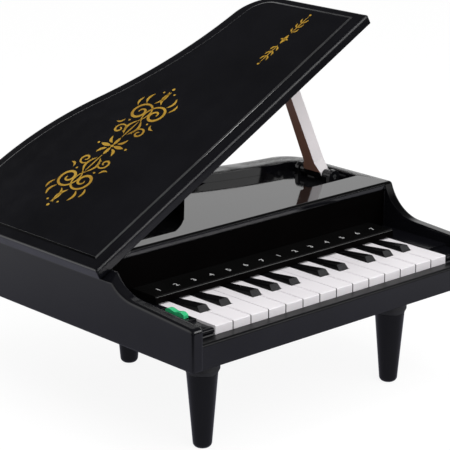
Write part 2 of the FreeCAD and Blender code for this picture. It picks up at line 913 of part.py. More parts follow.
def bottom_cover():
    """The flat cover with ribs for the key bed, leg sockets, battery bay and speaker grille."""
    body = plan(wall + fit, case_front + wall + fit, case_bottom, cover_top)
    depth = fall_back - slip_back
    for share in bed_rib_shares:
        middle = slip_back + depth * share
        body = body.fuse(box(-block_outer + wall, keyboard_width + block_outer - wall,
                             middle - bed_rib / 2, middle + bed_rib / 2, cover_top, bed_bottom))
    body = body.fuse(bay_box(-bay_wall, cover_top, case_bottom + bay_height + bay_wall))
    body = body.cut(bay_box(bay_lip, case_bottom, case_bottom + bay_height))
    body = body.cut(bay_box(0, case_bottom - over, cover_top))
    for place in leg_places().values():
        bevel = Part.makeCone(leg_top_radius, socket_radius, socket_edge, place, ALONG_Z)
        tube = rod(place + ALONG_Z * socket_edge, ALONG_Z, socket_radius, socket_length - socket_edge)
        body = fuse_all([body, bevel, tube])
        body = body.cut(rod(place, ALONG_Z, leg_spigot_radius, socket_length + cover_plate))
    for hole in grille_places():
        body = body.cut(rod(hole, ALONG_Z, grille_radius, cover_plate))
    for spot in post_places():
        floor = spot + ALONG_Z * case_bottom
        body = body.cut(rod(floor, ALONG_Z, screw_radius, cover_plate))
        body = body.cut(rod(floor, ALONG_Z, screw_head_radius, screw_head))
    return body.removeSplitter()


def grille_places():
    centre = V(speaker_across, speaker_back, case_bottom)
    places = [centre]
    for ring in range(1, grille_rings + 1):
        count = ring * 6
        for step in range(count):
            places.append(centre + heading(math.tau * step / count) * grille_step * ring)
    return places


def speaker():
    """A small paper-cone speaker that faces down on the grille, with its magnet on top."""
    rim = V(speaker_across, speaker_back, cover_top)
    ring = rod(rim, ALONG_Z, speaker_radius, speaker_rim)
    basket = Part.makeCone(speaker_radius - speaker_rim, magnet_radius, speaker_cone,
                           rim + ALONG_Z * speaker_rim, ALONG_Z)
    magnet = rod(rim + ALONG_Z * (speaker_rim + speaker_cone), ALONG_Z, magnet_radius, magnet_height)
    hollow = Part.makeCone(speaker_radius - speaker_rim * 2, magnet_radius - speaker_rim,
                           speaker_rim + speaker_cone, rim, ALONG_Z)
    return fuse_all([ring, basket, magnet]).cut(hollow)


def battery_door():
    """The door flush with the bottom, with a shallow finger hollow at one edge."""
    body = bay_box(fit, case_bottom, cover_top)
    middle = bay_left + bay_width / 2
    hollow = box(middle - door_tongue, middle + door_tongue, bay_front + bay_lip,
                 bay_front + bay_lip + door_tongue, case_bottom - over, case_bottom + cover_plate / 2)
    screw = door_screw_place()
    body = body.cut(hollow)
    body = body.cut(rod(screw, ALONG_Z, screw_radius, cover_plate))
    return body.cut(rod(screw, ALONG_Z, screw_head_radius, screw_head))


def door_screw_place():
    back = bay_front + bay_length - bay_lip - screw_head_radius * 2
    return V(bay_left + bay_width / 2, back, case_bottom)


def screw(place, length):
    head = rod(place, ALONG_Z, screw_head_radius, screw_head)
    return head.fuse(rod(place, ALONG_Z, screw_radius, length)).removeSplitter()


def cover_screws():
    return Part.makeCompound([screw(spot + ALONG_Z * case_bottom, cover_plate + screw_length)
                              for spot in post_places()])


def leg(place):
    """A tapered round leg with a rounded foot and a spigot that sits in the cover's socket."""
    def at(radius, height):
        return V(place.x + radius, place.y, place.z + height)
    def flat(radius, height):
        return at(radius, height)
    sole = leg_foot_radius - leg_foot_edge
    edges = [
        line(flat, (0, -leg_length), (sole, -leg_length)),
        arc(flat, (sole, leg_foot_edge - leg_length), leg_foot_edge, -math.pi / 2, 0),
        line(flat, (leg_foot_radius, leg_foot_edge - leg_length), (leg_top_radius, 0)),
        line(flat, (leg_top_radius, 0), (leg_spigot_radius, 0)),
        line(flat, (leg_spigot_radius, 0), (leg_spigot_radius, leg_spigot)),
        line(flat, (leg_spigot_radius, leg_spigot), (0, leg_spigot)),
        line(flat, (0, leg_spigot), (0, -leg_length)),
    ]
    return Part.Face(Part.Wire(edges)).revolve(place, ALONG_Z, 360)


def nodes():
    front_hinge, rear_hinge = hinge_places()
    made = {
        "case": case(),
        "bottom_cover": bottom_cover(),
        "deck_panel": deck_panel(),
        "front_rail": front_rail(),
        "key_bed": key_bed(),
        "key_block_left": left_block(),
        "key_block_right": key_block(keyboard_width + side_gap),
        "label_rail": label_rail(),
        "key_axle": key_axle(),
        "contact_board": contact_board(),
        "contact_strip": contact_strip(),
        "switch_body": switch_body(),
        "switch_knob": switch_knob(),
        "lid": lid(),
        "hinge_pin_front": hinge_pin(front_hinge),
        "hinge_pin_rear": hinge_pin(rear_hinge),
        "lid_prop": lid_prop(),
        "prop_pin": prop_pin(),
        "speaker": speaker(),
        "battery_door": battery_door(),
        "battery_door_screw": screw(door_screw_place(), cover_plate),
        "cover_screws": cover_screws(),
    }
    for name, place in leg_places().items():
        made[name] = leg(place)
    made.update(keys())
    return made


def main():
    os.makedirs("parts", exist_ok=True)
    made = nodes()
    bounds = Part.makeCompound(list(made.values())).optimalBoundingBox(False, False)
    shift = V(-(bounds.XMin + bounds.XMax) / 2, -(bounds.YMin + bounds.YMax) / 2, -bounds.ZMin)
    for name, shape in made.items():
        shape.translate(shift)
        shape.exportStep("parts/%s.step" % name)
    places = {
        "shift": V(0, 0, 0),
        "key axis": V(0, pivot_back, key_axis_z),
        "lid hinge": V(hinge_x, prop_back, hinge_z),
        "prop pivot": V(prop_x, prop_back, prop_z),
    }
    for name, place in places.items():
        print(name, [round(value, 4) for value in place + shift])
    print("size", [round(value, 2) for value in (bounds.XLength, bounds.YLength, bounds.ZLength)])


main()
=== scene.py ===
import bpy
import json
import math
from mathutils import Matrix, Vector


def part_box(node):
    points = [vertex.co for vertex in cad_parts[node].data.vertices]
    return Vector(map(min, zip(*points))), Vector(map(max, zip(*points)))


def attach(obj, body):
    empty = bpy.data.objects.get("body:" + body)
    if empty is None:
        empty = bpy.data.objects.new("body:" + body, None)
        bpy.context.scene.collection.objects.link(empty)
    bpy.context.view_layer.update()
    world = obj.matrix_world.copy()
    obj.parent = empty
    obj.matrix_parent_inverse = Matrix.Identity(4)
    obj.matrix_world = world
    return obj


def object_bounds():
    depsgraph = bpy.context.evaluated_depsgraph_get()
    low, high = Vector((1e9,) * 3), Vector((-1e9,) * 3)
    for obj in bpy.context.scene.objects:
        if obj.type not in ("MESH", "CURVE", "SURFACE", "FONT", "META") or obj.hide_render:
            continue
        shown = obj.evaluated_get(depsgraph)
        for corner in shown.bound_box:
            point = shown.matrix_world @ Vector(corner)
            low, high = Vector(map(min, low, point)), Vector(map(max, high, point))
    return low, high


# Toy grand piano in metres: finishes, the pieces that are added to the nodes, studio and camera

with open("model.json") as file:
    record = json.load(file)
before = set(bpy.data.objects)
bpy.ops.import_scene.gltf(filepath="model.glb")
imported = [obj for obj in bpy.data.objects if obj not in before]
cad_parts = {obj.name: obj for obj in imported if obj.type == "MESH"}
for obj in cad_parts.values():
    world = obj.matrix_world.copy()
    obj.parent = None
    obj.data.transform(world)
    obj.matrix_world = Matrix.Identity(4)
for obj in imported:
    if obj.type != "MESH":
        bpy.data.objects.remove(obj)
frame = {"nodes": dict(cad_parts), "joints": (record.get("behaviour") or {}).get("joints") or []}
cad_low, cad_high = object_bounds()
nodes = frame["nodes"]
joints = {joint["name"]: joint for joint in frame["joints"]}

MM = 0.001

# Lid: how far it stands open, and heights above its hinge axis
LID_OPEN = math.radians(28.6)
LID_FACE = 10.4 * MM
LID_FACE_SLACK = 0.1 * MM
LID_EDGE_LOW = 4.5 * MM
LID_EDGE_HIGH = 6.5 * MM
PANEL_RAISE = 0.8 * MM

# Border of the lid's raised panel: how far it reaches past the panel, and its rounded edge
BORDER_LEFT = 3.0 * MM
BORDER_RIGHT = 5.5 * MM
BORDER_FRONT = 2.9 * MM
BORDER_BACK = 3.0 * MM
BORDER_LAP = 1.2 * MM
BORDER_LIFT = 0.03 * MM
BORDER_ROUND_SHARE = 0.32
BORDER_STEPS = 8

# Ornaments: their places on the closed lid, and how far they are raised
SCROLLS_ACROSS = 63.0 * MM
SCROLLS_BACK = 152.0 * MM
BAR_ACROSS = 187.0 * MM
BAR_BACK = 110.0 * MM
FOIL = 0.06 * MM
LEAF_TIP = 0.02
LEAF_BLUNT = 0.8
CURL_STEPS = 48
BOW_STEPS = 20
BEAD_STEPS = 12

# One quarter of the scroll ornament, in millimetres and degrees from its middle
SCROLL_CURLS = (
    {"middle": (33.5, 7.0), "radii": (9.6, 1.2), "angles": (215, 830), "widths": (0.7, 2.0)},
    {"middle": (15.5, 9.2), "radii": (5.2, 0.8), "angles": (250, 730), "widths": (0.5, 1.5)},
)
SCROLL_LEAVES = (
    {"start": (12.0, 1.6), "end": (26.0, 1.2), "rise": 3.6, "width": 1.9},
    {"start": (43.0, 3.2), "end": (56.0, 1.0), "rise": -2.6, "width": 2.2},
    {"start": (42.0, 9.5), "end": (51.5, 10.4), "rise": 2.2, "width": 2.0},
    {"start": (38.5, 14.8), "end": (46.5, 16.2), "rise": 1.4, "width": 1.7},
    {"start": (24.5, 12.4), "end": (21.0, 17.6), "rise": 1.6, "width": 1.6},
    {"start": (2.6, 2.4), "end": (8.2, 7.4), "rise": 1.3, "width": 2.2},
)
SCROLL_BEADS = (
    {"place": (24.6, 8.6), "radius": 0.8},
    {"place": (54.4, 5.0), "radius": 0.8},
)

# What lies on the scroll ornament's two axes
SCROLL_STEM = {"start": 9.0, "end": 25.0, "widths": (0.3, 1.1)}
SCROLL_SIDE_PETAL = {"start": 1.2, "end": 8.4, "width": 2.6}
SCROLL_TALL_PETAL = {"start": 1.4, "end": 10.5, "width": 2.8}
SCROLL_SIDE_BEAD = {"place": 58.6, "radius": 1.1}
SCROLL_TALL_BEAD = {"place": 13.2, "radius": 0.9}
SCROLL_MIDDLE_RADIUS = 1.2

# The bar of leaves, likewise
BAR_SIDE_PETAL = {"reach": 4.6, "width": 2.6}
BAR_TALL_PETAL = {"reach": 3.4, "width": 2.0}
BAR_STEM = {"start": 6.5, "end": 24.5, "widths": (0.3, 0.8)}
BAR_LEAF_STARTS = (7.5, 12.5, 17.5)
BAR_LEAF = {"root": 0.3, "run": 4.2, "tip": 2.7, "rise": 0.7, "width": 1.2}
BAR_BEAD = {"place": 26.2, "radius": 0.9}

# Keys: pitch, gaps with their painted shade, and marks on the label rail
WHITE_PITCH = 14.0 * MM
KEY_GAP = 0.5 * MM
# Colour of the painted shade on the white keys' sides at the front of the gaps
GAP_SHADE = (0.03, 0.028, 0.03)
GAP_DARK = 1.2 * MM
GAP_PALE = 2.2 * MM
GAP_SIDE_START = 0.7
GAP_SIDE_END = 0.95
OCTAVES = 2
OCTAVE_MARKS = "1234567"
MARK_BACK = 57.7 * MM
MARK_SIZE = 5.6 * MM
MARK_BOLD = 0.1 * MM

# Caps on the front shelves of the key blocks
SHELF_TOP = -3.5 * MM
SHELF_BACK = 15.6 * MM
CAP_MARGIN = 0.2 * MM
CAP_HEIGHT = 2.5 * MM
CAP_NOSE = 1.6 * MM
CAP_DISH = 0.3 * MM
CAP_STEPS = 6

# Zones that have a finish of their own (a painted shade on the fall, the brow and the right cheek), and the
# radius of the prop's barrel
FALL_BACK = 70.6 * MM
FALL_DEPTH = 1.0 * MM
BROW_FRONT = 70.4 * MM
BROW_BACK = 72.0 * MM
CHEEK_RIGHT = 205.0 * MM
CHEEK_FRONT = 10.0 * MM
RIM_TOP = 29.5 * MM
RIM_REAR = 97.0 * MM
PROP_BARREL = 5.5 * MM

# How much of a face's normal lies along a way, for the same zones
SQUARE = 0.999
NEARLY_SQUARE = 0.9
LEANING = 0.3
HARDLY = 0.05
BROW_STEEP = 0.98
BROW_FLAT = 0.2
LID_LEVEL = 0.95
LID_SIDE = 0.5
BORDER_SIDE = 0.1

# Surfaces: noise scales, where noise turns from one tone to the other, and how soft or sharp edges look
PLASTIC_CLOUD = 22.0
PLASTIC_GRAIN = 900.0
GRAIN_DEPTH = 0.2 * MM
HAZE_FINER = 4
CLOUD_DETAIL = 3.0
CLOUD_LOW = 0.3
CLOUD_HIGH = 0.7
EDGE_SAMPLES = 12
SHARP_EDGE = math.radians(28)

# Tones of the black mouldings, from dark to light
CASE_TONES = ((0.0032, 0.0032, 0.0042), (0.005, 0.005, 0.0068))
LEG_TONES = ((0.0026, 0.0026, 0.003), (0.004, 0.004, 0.0046))
# Darker tones for the brow, the right cheek and the lid border's side towards the hinge: painted shade
DULL_SHADE_TONES = ((0.0014, 0.0014, 0.0016), (0.0024, 0.0024, 0.0028))
# Darker tones for the fall and the label rail's front: painted shade
FALL_SHADE_TONES = ((0.0006, 0.0004, 0.0004), (0.0012, 0.0008, 0.0008))
LID_TONES = ((0.0022, 0.0022, 0.0034), (0.0042, 0.0042, 0.006))
# Lighter tones for the lid's side towards the hinge: painted light
LID_SIDE_LIT_TONES = ((0.003, 0.003, 0.0042), (0.005, 0.005, 0.0068))
DECK_TONES = ((0.003, 0.003, 0.0035), (0.005, 0.005, 0.006))
RAIL_TONES = ((0.002, 0.002, 0.002), (0.0034, 0.0034, 0.0034))
LEDGE_TONES = ((0.0035, 0.0035, 0.004), (0.0055, 0.0055, 0.0065))
MATTE_TONES = ((0.012, 0.012, 0.013), (0.02, 0.02, 0.022))
BLACK_KEY_TONES = ((0.002, 0.002, 0.0022), (0.0035, 0.0035, 0.004))
# Lighter tones for the black keys' fronts: painted light, with painted glints in a fine speckle
KEY_NOSE_LIT_TONES = ((0.008, 0.008, 0.009), (0.02, 0.02, 0.022))

# Tones of everything else
WHITE_KEY_TONES = ((0.79, 0.76, 0.785), (0.83, 0.80, 0.825))
SWITCH_TONES = ((0.03, 0.46, 0.18), (0.045, 0.56, 0.23))
PROP_PALE_TONES = ((0.88, 0.83, 0.845), (0.93, 0.88, 0.895))
# Darker tones for the prop's tilted flare faces: painted shade against the brighter light falling there
PROP_FLARE_SHADE_TONES = ((0.66, 0.62, 0.63), (0.7, 0.66, 0.67))
PROP_BROWN_TONES = ((0.38, 0.18, 0.125), (0.46, 0.225, 0.16))
RUBBER_TONES = ((0.10, 0.10, 0.105), (0.15, 0.15, 0.155))
BOARD_TONES = ((0.02, 0.09, 0.035), (0.03, 0.13, 0.05))
MARK_TONES = ((0.42, 0.42, 0.42), (0.52, 0.52, 0.52))
SPEAKER_TONES = ((0.05, 0.05, 0.052), (0.09, 0.09, 0.093))
STEEL_TONES = ((0.50, 0.51, 0.53), (0.62, 0.63, 0.65))
GOLD_TONES = ((0.50, 0.27, 0.018), (0.62, 0.36, 0.028), (0.74, 0.46, 0.06))

# Floor: what light bounces off, what the camera sees, and the glow it shows in reflections, from far off to
# a painted shadow near the piano
FLOOR_HALF = 4.0
FLOOR_BOUNCE = 0.5
FLOOR_SHADE = 0.14
FLOOR_GLOW = 0.9
FLOOR_TONES = (
    (0.0, (0.8, 0.8, 0.84)),
    (0.35, (0.75, 0.75, 0.79)),
    (0.72, (0.3, 0.3, 0.36)),
    (1.0, (0.26, 0.26, 0.32)),
)

# Painted shade on the floor's glow in reflections, in front and off the front left corner
FRONT_DIM = 0.06
FRONT_DARK = -0.5
FRONT_PALE = -0.38
CORNER_WAY = (0.707, 0.707, 0)
CORNER_DIM = 0.08
CORNER_DARK = -0.4
CORNER_PALE = -0.3

# Surroundings: light on the piano, and where reflections of them darken overhead and in front
WORLD_LIGHT = 0.5
WORLD_DIM = 0.06
WORLD_PALE_BELOW = math.radians(24)
WORLD_DARK_ABOVE = math.radians(38)
WORLD_DARK_FRONT = -0.2
WORLD_PALE_BACK = 0.1

# Lamps
KEY_PLACE = (-0.5, -1.0, 1.2)
KEY_SIZE = (0.8, 0.8)
TOP_PLACE = (0.05, -0.35, 1.5)
TOP_SIZE = (0.6, 0.6)
STRIP_PLACE = (0.6, -1.2, 0.62)
FILL_PLACE = (0.3, -1.2, 0.5)
FRONT_SIZE = (1.2, 0.6)
LAMP_AIM = (cad_low + cad_high) / 2

# Camera, placed from the same corner as the piano's own places
CAMERA_PLACE = Vector((-717.808, -797.146, 384.412)) * MM
CAMERA_WAY = Vector((0.64414, 0.70794, -0.28965))
CAMERA_LENS = 160.5
CAMERA_SENSOR = 36.0
CAMERA_NEAR = 0.05
CAMERA_FAR = 50.0

# The front left corner of the first white key's top, which places on the piano are measured from
key_low, key_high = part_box("white_key_01")
KEYBOARD_ORIGIN = Vector((key_low.x - KEY_GAP / 2, key_low.y, key_high.z))

# The open lid's axis, the ways across its face and out of it, and the prop's axis
LID_HINGE = Vector(joints["lid_hinge"]["pos_m"])
LID_ACROSS = Vector((math.cos(LID_OPEN), 0, math.sin(LID_OPEN)))
LID_UP = Vector((-math.sin(LID_OPEN), 0, math.cos(LID_OPEN)))
PROP_PIN = Vector(joints["prop_hinge"]["pos_m"])

# Sockets of a Mix node that mixes vectors or colours: both inputs and the result
MIX_VECTOR = (4, 5, 1)
MIX_COLOUR = (6, 7, 2)


# Shader nodes

def material(name):
    made = bpy.data.materials.new(name)
    made.use_nodes = True
    return made, made.node_tree, made.node_tree.nodes["Principled BSDF"]


def place_on_piece(tree):
    return tree.nodes.new("ShaderNodeTexCoord").outputs["Object"]


def surface_normal(tree):
    return tree.nodes.new("ShaderNodeNewGeometry").outputs["Normal"]


def axes(tree, vector):
    """The X, Y and Z of a vector."""
    node = tree.nodes.new("ShaderNodeSeparateXYZ")
    tree.links.new(vector, node.inputs[0])
    return node.outputs


def along(tree, place, way):
    """How far a place lies along a way."""
    node = tree.nodes.new("ShaderNodeVectorMath")
    node.operation = "DOT_PRODUCT"
    node.inputs[1].default_value = way
    tree.links.new(place, node.inputs[0])
    return node.outputs["Value"]


def combine(tree, operation, *values):
    """One value from one or two others."""
    node = tree.nodes.new("ShaderNodeMath")
    node.operation = operation
    for socket, value in zip(node.inputs, values):
        tree.links.new(value, socket)
    return node.outputs[0]


def noise(tree, scale, detail=2.0):
    """A noise texture fixed to the piece."""
    texture = tree.nodes.new("ShaderNodeTexNoise")
    texture.inputs["Scale"].default_value = scale
    texture.inputs["Detail"].default_value = detail
    tree.links.new(place_on_piece(tree), texture.inputs["Vector"])
    return texture.outputs["Fac"]


def ramp(tree, value, stops):
    """Colours along a value, as (place, colour) stops."""
    node = tree.nodes.new("ShaderNodeValToRGB")
    first, last = node.color_ramp.elements
    first.position, first.color = stops[0][0], (*stops[0][1], 1)
    last.position, last.color = stops[-1][0], (*stops[-1][1], 1)
    for place, colour in stops[1:-1]:
        node.color_ramp.elements.new(place).color = (*colour, 1)
    tree.links.new(value, node.inputs["Fac"])
    return node.outputs["Color"]


def spread(tree, value, low, high, start=CLOUD_LOW, end=CLOUD_HIGH):
    """A value from low to high as another goes from start to end."""
    node = tree.nodes.new("ShaderNodeMapRange")
    node.inputs["From Min"].default_value = start
    node.inputs["From Max"].default_value = end
    node.inputs["To Min"].default_value = low
    node.inputs["To Max"].default_value = high
    tree.links.new(value, node.inputs["Value"])
    return node.outputs["Result"]


def mottle(tree, shader, tones, roughness, cloud, haze):
    """Tones in clouds, and an uneven gloss at another scale."""
    step = (CLOUD_HIGH - CLOUD_LOW) / (len(tones) - 1)
    stops = [(CLOUD_LOW + step * index, tone) for index, tone in enumerate(tones)]
    tree.links.new(ramp(tree, noise(tree, cloud, CLOUD_DETAIL), stops), shader.inputs["Base Color"])
    tree.links.new(spread(tree, noise(tree, haze), *roughness), shader.inputs["Roughness"])


def rounded_normal(tree, edge, part):
    """The normal of edges rounded by the radius edge, in the part of the piece where part gives 1."""
    soft = tree.nodes.new("ShaderNodeBevel")
    soft.samples = EDGE_SAMPLES
    soft.inputs["Radius"].default_value = edge
    if part is None:
        return soft.outputs["Normal"]
    plain, rounded, result = MIX_VECTOR
    blend = tree.nodes.new("ShaderNodeMix")
    blend.data_type = "VECTOR"
    tree.links.new(part(tree), blend.inputs[0])
    tree.links.new(surface_normal(tree), blend.inputs[plain])
    tree.links.new(soft.outputs["Normal"], blend.inputs[rounded])
    return blend.outputs[result]


def lid_upper(tree):
    """1 on the upper half of the lid's edge and 0 at its lower rim."""
    axis = LID_HINGE.dot(LID_UP)
    height = along(tree, place_on_piece(tree), LID_UP)
    return spread(tree, height, 0.0, 1.0, axis + LID_EDGE_LOW, axis + LID_EDGE_HIGH)


# Finishes

def plastic(name, tones, roughness, cloud=PLASTIC_CLOUD, relief=0.02, shine=0.5, index=1.5, edge=0.0,
            part=None):
    """Moulded plastic with a fine grain, and with soft edges if edge is more than 0."""
    made, tree, shader = material(name)
    shader.inputs["Specular IOR Level"].default_value = shine
    shader.inputs["IOR"].default_value = index
    mottle(tree, shader, tones, roughness, cloud, cloud * HAZE_FINER)
    grain = tree.nodes.new("ShaderNodeBump")
    grain.inputs["Strength"].default_value = relief
    grain.inputs["Distance"].default_value = GRAIN_DEPTH
    tree.links.new(noise(tree, PLASTIC_GRAIN), grain.inputs["Height"])
    if edge:
        tree.links.new(rounded_normal(tree, edge, part), grain.inputs["Normal"])
    tree.links.new(grain.outputs["Normal"], shader.inputs["Normal"])
    return made


def metal(name, tones, roughness, cloud, haze, share):
    made, tree, shader = material(name)
    shader.inputs["Metallic"].default_value = share
    mottle(tree, shader, tones, roughness, cloud, haze)
    return made


def shade_gaps(made):
    """Painted shade between the white keys: their sides are dark at the front, but not the first key's outer
    side.
    """
    tree = made.node_tree
    colour = tree.nodes["Principled BSDF"].inputs["Base Color"]
    aside = combine(tree, "ABSOLUTE", axes(tree, surface_normal(tree))["X"])
    place = axes(tree, place_on_piece(tree))
    left, front = KEYBOARD_ORIGIN.x, KEYBOARD_ORIGIN.y
    on_side = spread(tree, aside, 0.0, 1.0, GAP_SIDE_START, GAP_SIDE_END)
    near_front = spread(tree, place["Y"], 1.0, 0.0, front + GAP_DARK, front + GAP_PALE)
    past_left = spread(tree, place["X"], 0.0, 1.0, left + GAP_DARK, left + GAP_PALE)
    gap_shade = combine(tree, "MULTIPLY", combine(tree, "MULTIPLY", on_side, near_front), past_left)
    unshadowed, shadowed, result = MIX_COLOUR
    blend = tree.nodes.new("ShaderNodeMix")
    blend.data_type = "RGBA"
    blend.inputs[shadowed].default_value = (*GAP_SHADE, 1)
    tree.links.new(gap_shade, blend.inputs[0])
    tree.links.new(colour.links[0].from_socket, blend.inputs[unshadowed])
    tree.links.new(blend.outputs[result], colour)


case_black = plastic("case_black", CASE_TONES, (0.06, 0.11), edge=1.4 * MM)
leg_black = plastic("leg_black", LEG_TONES, (0.06, 0.11), shine=0.36, edge=0.5 * MM)
apron_black = plastic("apron_black", CASE_TONES, (0.12, 0.18))
block_black = plastic("block_black", CASE_TONES, (0.16, 0.22), shine=0.2, edge=0.5 * MM)
# Darker, duller copies of the case's plastic for the right cheek and the brow: painted shade, also on the
# lid border's side towards the hinge
cheek_shade_black = plastic("cheek_shade_black", DULL_SHADE_TONES, (0.16, 0.22), shine=0.1)
brow_shade_black = plastic("brow_shade_black", DULL_SHADE_TONES, (0.3, 0.4), shine=0.06)
# A darker, duller copy of the case's plastic on the fall and the label rail's front: painted shade
fall_shade_black = plastic("fall_shade_black", FALL_SHADE_TONES, (0.5, 0.6), shine=0.02)
lid_black = plastic("lid_black", LID_TONES, (0.07, 0.12), edge=0.4 * MM)
lid_edge_black = plastic("lid_edge_black", LID_TONES, (0.16, 0.2), shine=0.45, edge=3.2 * MM, part=lid_upper)
# A lighter, shinier copy of the lid's plastic on its side towards the hinge: painted light
lid_side_lit_black = plastic("lid_side_lit_black", LID_SIDE_LIT_TONES, (0.2, 0.26), shine=1.0)
border_black = plastic("border_black", LID_TONES, (0.34, 0.42), shine=1.0, index=2.4)
deck_black = plastic("deck_black", DECK_TONES, (0.05, 0.09))
ear_black = plastic("ear_black", DECK_TONES, (0.1, 0.14), edge=0.8 * MM)
rim_black = plastic("rim_black", DECK_TONES, (0.06, 0.11), edge=12.0 * MM)
rail_black = plastic("rail_black", RAIL_TONES, (0.14, 0.2), relief=0.03, edge=0.8 * MM)
ledge_black = plastic("ledge_black", LEDGE_TONES, (0.28, 0.36), relief=0.04, shine=0.15)
matte_black = plastic("matte_black", MATTE_TONES, (0.5, 0.62), relief=0.15)
key_white = plastic("key_white", WHITE_KEY_TONES, (0.32, 0.38), relief=0.015)
shade_gaps(key_white)
key_black = plastic("key_black", BLACK_KEY_TONES, (0.2, 0.28), relief=0.03, shine=0.12, edge=0.3 * MM)
# The black keys' fronts: a lighter, finely speckled copy of their plastic, as painted light and painted
# glints
key_nose_lit_black = plastic("key_nose_lit_black", KEY_NOSE_LIT_TONES, (0.26, 0.4), cloud=700.0, relief=0.12, shine=0.9)
switch_green = plastic("switch_green", SWITCH_TONES, (0.22, 0.32), relief=0.03)
prop_pale = plastic("prop_pale", PROP_PALE_TONES, (0.3, 0.4), relief=0.03)
# A darker copy of the prop's pale plastic on its flare: painted shade
prop_flare_shade = plastic("prop_flare_shade", PROP_FLARE_SHADE_TONES, (0.3, 0.4), relief=0.03)
prop_brown = plastic("prop_brown", PROP_BROWN_TONES, (0.34, 0.44), relief=0.03)
rubber_grey = plastic("rubber_grey", RUBBER_TONES, (0.6, 0.75), relief=0.1)
board_green = plastic("board_green", BOARD_TONES, (0.35, 0.5), relief=0.05)
mark_white = plastic("mark_white", MARK_TONES, (0.4, 0.5))
speaker_grey = plastic("speaker_grey", SPEAKER_TONES, (0.4, 0.55))
steel = metal("steel", STEEL_TONES, (0.22, 0.34), cloud=60.0, haze=240.0, share=1.0)
gold = metal("gold_foil", GOLD_TONES, (0.32, 0.5), cloud=45.0, haze=300.0, share=0.35)

FINISHES = {
    "case": case_black,
    "front_rail": apron_black,
    "key_block_left": block_black,
    "key_block_right": block_black,
    "deck_panel": ear_black,
    "lid": lid_black,
    "lid_prop": prop_brown,
    "label_rail": rail_black,
    "bottom_cover": matte_black,
    "battery_door": matte_black,
    "key_bed": matte_black,
    "switch_body": matte_black,
    "switch_knob": switch_green,
    "key_axle": steel,
    "hinge_pin_front": steel,
    "hinge_pin_rear": steel,
    "prop_pin": steel,
    "battery_door_screw": steel,
    "cover_screws": steel,
    "contact_board": board_green,
    "contact_strip": rubber_grey,
    "speaker": speaker_grey,
    "leg_front_left": leg_black,
    "leg_front_right": leg_black,
    "leg_rear": leg_black,
}
white_keys = [name for name in nodes if name.startswith("white_key")]
black_keys = [name for name in nodes if name.startswith("black_key")]
FINISHES.update(dict.fromkeys(white_keys, key_white))
FINISHES.update(dict.fromkeys(black_keys, key_black))


def smooth(piece):
    """Round faces shaded smooth, with the sharp edges kept."""
    piece.data.polygons.foreach_set("use_smooth", [True] * len(piece.data.polygons))
    split = piece.modifiers.new("edges", "EDGE_SPLIT")
    split.split_angle = SHARP_EDGE


def refinish(name, *choices):
    """Other finishes on the faces that each choice picks by their normal and middle."""
    mesh = nodes[name].data
    picked = [0] * len(mesh.polygons)
    for finish, chosen in choices:
        mesh.materials.append(finish)
        for face in mesh.polygons:
            if chosen(face.normal, face.center - KEYBOARD_ORIGIN):
                picked[face.index] = len(mesh.materials) - 1
    mesh.polygons.foreach_set("material_index", picked)


def is_fall(normal, middle):
    return normal.y < -SQUARE and 0 < middle.y - FALL_BACK < FALL_DEPTH


def is_brow(normal, middle):
    if abs(normal.x) > HARDLY:
        return False
    return -BROW_STEEP < normal.y < -BROW_FLAT and BROW_FRONT < middle.y < BROW_BACK


def is_cheek(normal, middle):
    if abs(normal.x) > HARDLY or normal.y > -LEANING:
        return False
    return middle.x > CHEEK_RIGHT and CHEEK_FRONT < middle.y < BROW_BACK


def is_level(normal, middle):
    return normal.z > SQUARE


def is_raised(normal, middle):
    return normal.z > HARDLY


def is_rim(normal, middle):
    return normal.z > SQUARE and middle.z > RIM_TOP


def is_rear_rim(normal, middle):
    return is_rim(normal, middle) and middle.y > RIM_REAR


def is_front(normal, middle):
    return normal.y < -NEARLY_SQUARE


def is_key_nose(normal, middle):
    return normal.y < -LEANING


def is_lid_edge(normal, middle):
    height = (middle + KEYBOARD_ORIGIN - LID_HINGE).dot(LID_UP)
    return normal.dot(LID_UP) < LID_LEVEL and height < LID_FACE - PANEL_RAISE


def is_lid_side(normal, middle):
    return is_lid_edge(normal, middle) and normal.dot(LID_ACROSS) < -LID_SIDE


def is_prop_front(normal, middle):
    return abs(normal.y) > NEARLY_SQUARE


def is_prop_flare(normal, middle):
    return NEARLY_SQUARE < abs(normal.y) < SQUARE


def is_prop_barrel(normal, middle):
    from_pin = middle + KEYBOARD_ORIGIN - PROP_PIN
    return abs(normal.y) < NEARLY_SQUARE and math.hypot(from_pin.x, from_pin.z) < PROP_BARREL


for name, piece in nodes.items():
    piece.data.materials.clear()
    piece.data.materials.append(FINISHES[name])
    smooth(piece)
refinish("case", (fall_shade_black, is_fall), (brow_shade_black, is_brow), (cheek_shade_black, is_cheek), (deck_black, is_rim),
         (rim_black, is_rear_rim))
refinish("deck_panel", (deck_black, is_level))
refinish("front_rail", (ledge_black, is_raised))
refinish("label_rail", (fall_shade_black, is_front))
refinish("lid", (lid_edge_black, is_lid_edge), (lid_side_lit_black, is_lid_side))
for name in black_keys:
    refinish(name, (key_nose_lit_black, is_key_nose))
refinish("lid_prop", (prop_pale, is_prop_front), (prop_flare_shade, is_prop_flare), (ear_black, is_prop_barrel))


# Pieces that are added to the frame's nodes

def mesh_of(name, points, faces):
    made = bpy.data.meshes.new(name)
    made.from_pydata(points, [], faces)
    made.update()
    return made


def add_object(name, data):
    made = bpy.data.objects.new(name, data)
    bpy.context.scene.collection.objects.link(made)
    return made


def add_piece(mesh, body, finish=None):
    if finish:
        mesh.materials.append(finish)
    piece = add_object(mesh.name, mesh)
    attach(piece, body)


# Gold ornaments, drawn flat in millimetres and laid on the lid's raised panel

